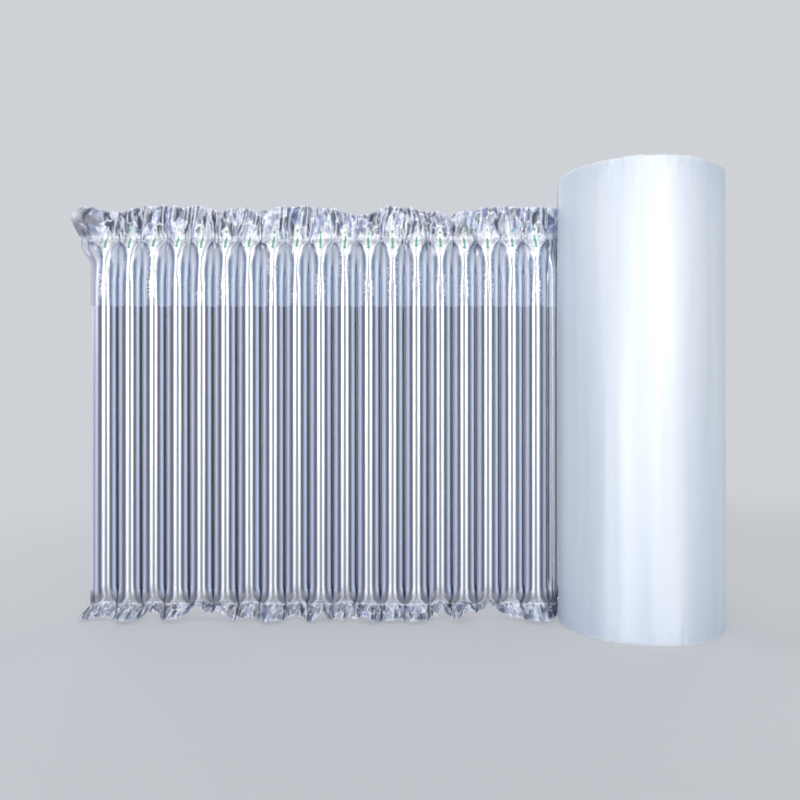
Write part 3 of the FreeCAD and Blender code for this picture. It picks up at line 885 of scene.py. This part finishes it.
def build_stage():
    """A pale floor that curves up into a backdrop. Where it is seen, it fades to one even paleness
    away from the object."""
    made, nodes, links, shader = material("pale_floor")
    shader.inputs["Base Color"].default_value = (0.70, 0.71, 0.73, 1.0)
    shader.inputs["Roughness"].default_value = 0.9
    shader.inputs["Specular IOR Level"].default_value = 0.2
    glow = nodes.new("ShaderNodeEmission")
    glow.inputs["Color"].default_value = PALE
    seen = seen_ray(nodes, links)
    away = nodes.new("ShaderNodeVectorMath")
    away.operation = "LENGTH"
    links.new(placed(nodes, links, "Object", (1, 1, 0)), away.inputs[0])
    wall = nodes.new("ShaderNodeMapRange")
    wall.interpolation_type = "SMOOTHSTEP"
    wall.inputs["From Min"].default_value = 0.5
    wall.inputs["From Max"].default_value = 1.5
    wall.inputs["To Min"].default_value = 0.4
    links.new(away.outputs["Value"], wall.inputs["Value"])
    blend = nodes.new("ShaderNodeMixShader")
    share = maths(nodes, links, "MULTIPLY", seen, wall.outputs["Result"])
    links.new(share, blend.inputs["Fac"])
    links.new(shader.outputs["BSDF"], blend.inputs[1])
    links.new(glow.outputs["Emission"], blend.inputs[2])
    links.new(blend.outputs["Shader"], nodes["Material Output"].inputs["Surface"])
    bends = np.linspace(0, math.pi / 2, 16)[1:]
    profile = [(-4.0, 0.0), (1.6, 0.0)]
    profile += [(1.6 + math.sin(bend), 1.0 - math.cos(bend)) for bend in bends] + [(2.6, 4.0)]
    points = np.array([[(x, y, z) for y, z in profile] for x in (-5.0, 5.0)])
    floor = grid("floor", points)
    floor.data.materials.append(made)


def lamp(name, place, target, width, height, radiance, colour=(1, 1, 1)):
    """A soft box of a given radiance that lights the object but isn't seen in the picture."""
    data = bpy.data.lights.new(name, "AREA")
    data.shape = "RECTANGLE"
    data.size, data.size_y = width, height
    data.energy = radiance * math.pi * width * height
    data.color = colour
    made = bpy.data.objects.new(name, data)
    made.location = place
    made.rotation_euler = (Vector(target) - Vector(place)).to_track_quat("-Z", "Y").to_euler()
    made.visible_camera = False
    bpy.context.scene.collection.objects.link(made)
    return made


def around(angle, distance, height):
    """A place round the sheet's middle, by its angle from straight in front, in degrees."""
    angle = math.radians(angle)
    return (MIDDLE_X + distance * math.sin(angle), -distance * math.cos(angle), height)


def build_lights():
    """Soft boxes in front, beside and behind, the same on both sides but for their levels and
    tints, and strips that only show as gloss. The world lights a little."""
    for side, word in ((-1, "left"), (1, "right")):
        left = side < 0
        lamp(f"front_box_{word}", around(side * 24, 1.6, 0.42), (MIDDLE_X, 0.0, 0.42),
             0.75, 0.82, 4.2 if left else 3.1, COOL)
        gloss = lamp(f"gloss_strip_{word}", around(side * 24, 1.6, 0.75), (MIDDLE_X, 0.0, 0.75),
                     0.62, 1.5, 7.8, WARM)
        gloss.visible_diffuse = False
        tint = (0.93, 0.93, 1.0) if left else (0.90, 0.96, 1.0)
        lamp(f"side_box_{word}", around(side * 96, 1.7, 1.0), (MIDDLE_X, 0.0, 0.5),
             0.9, 1.3, 1.9 if left else 0.9, tint)
        lamp(f"back_box_{word}", around(side * 146, 1.9, 1.0), (MIDDLE_X, 0.0, 0.4), 0.9, 1.4, 2.1)
    lamp("overhead", (MIDDLE_X, -0.1, 2.2), (MIDDLE_X, 0, 0), 1.8, 1.8, 0.9)
    world = bpy.data.worlds.new("studio")
    world.use_nodes = True
    nodes, links = world.node_tree.nodes, world.node_tree.links
    nodes["Background"].inputs["Color"].default_value = (0.90, 0.94, 1.0, 1.0)
    nodes["Background"].inputs["Strength"].default_value = 0.2
    pale = nodes.new("ShaderNodeBackground")
    pale.inputs["Color"].default_value = PALE
    blend = nodes.new("ShaderNodeMixShader")
    links.new(seen_ray(nodes, links), blend.inputs["Fac"])
    links.new(nodes["Background"].outputs["Background"], blend.inputs[1])
    links.new(pale.outputs["Background"], blend.inputs[2])
    links.new(blend.outputs["Shader"], nodes["World Output"].inputs["Surface"])
    bpy.context.scene.world = world


def build_camera():
    """A level view from the front, at half the roll's height."""
    data = bpy.data.cameras.new("camera")
    data.sensor_width = 36.0
    data.lens = 36.0
    made = bpy.data.objects.new("camera", data)
    made.location = (-0.2150, -0.718, WEB / 2)
    made.rotation_euler = (math.pi / 2, 0, 0)
    bpy.context.scene.collection.objects.link(made)
    bpy.context.scene.camera = made


# ---------------------------------------------------------------- build
ROUNDS = 220
BACK_GAP = 0.6 * MM

front, back = (trimmed(ply) for ply in settle(start_shape(), ROUNDS))
# Where the two plies are welded they are the same, so the back one stands off a little there.
behind = back.copy()
behind[..., 1] += BACK_GAP * (np.abs(back - front).sum(axis=-1) < CLOSE)
clear_film = film_material("clear_film", (0.90, 0.93, 1.0), (0.94, 0.96),
                           ((0.95, 0.97, 0.97), 0.2))
valve_paint = film_material("valve_film", (0.80, 0.85, 0.96), (0.6, 0.7),
                            ((0.93, 0.95, 0.96), 1.0))
build_film("front_columns", front, False, 4.5 * MM, "front_film", clear_film)
build_film("back_columns", behind, True, 0.0, "back_film", clear_film)
build_valve_film(front, valve_paint)
build_marks(front, ink_material())
build_roll(roll_material())
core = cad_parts["paper_core"]
core.data.materials.clear()
core.data.materials.append(card_material())
build_stage()
build_lights()
build_camera()
bpy.context.scene.view_settings.view_transform = "Standard"
